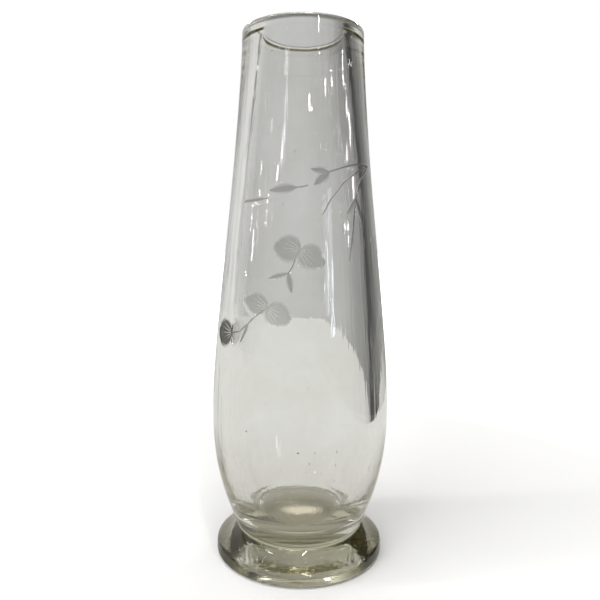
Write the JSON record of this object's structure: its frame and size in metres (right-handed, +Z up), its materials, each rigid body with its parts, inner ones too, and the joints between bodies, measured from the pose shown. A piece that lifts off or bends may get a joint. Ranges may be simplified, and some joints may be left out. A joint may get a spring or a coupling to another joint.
{
  "type": "glass bud vase",
  "caption": "Tall tapered bud vase of heavy clear glass with a narrow thick-rimmed mouth, a swelling belly, a short collar and a thick round foot.",
  "frame": {"origin": "centre of the base, on the surface that the vase stands on", "axes": "+Z up along the axis of the vase, -Y out of the side that carries the cut flower spray, +X to the right of someone who faces that side"},
  "size_m": [0.079, 0.079, 0.23],
  "materials": {
    "foot_glass": "clear gloss with an olive-grey tint where it is thick",
    "collar_glass": "clear gloss with an olive-grey tint",
    "bowl_glass": "clear gloss with matte wheel-cut flowers"
  },
  "bodies": {
    "root": {"foot": "foot_glass", "collar": "collar_glass", "bowl": "bowl_glass"}
  },
  "joints": []
}
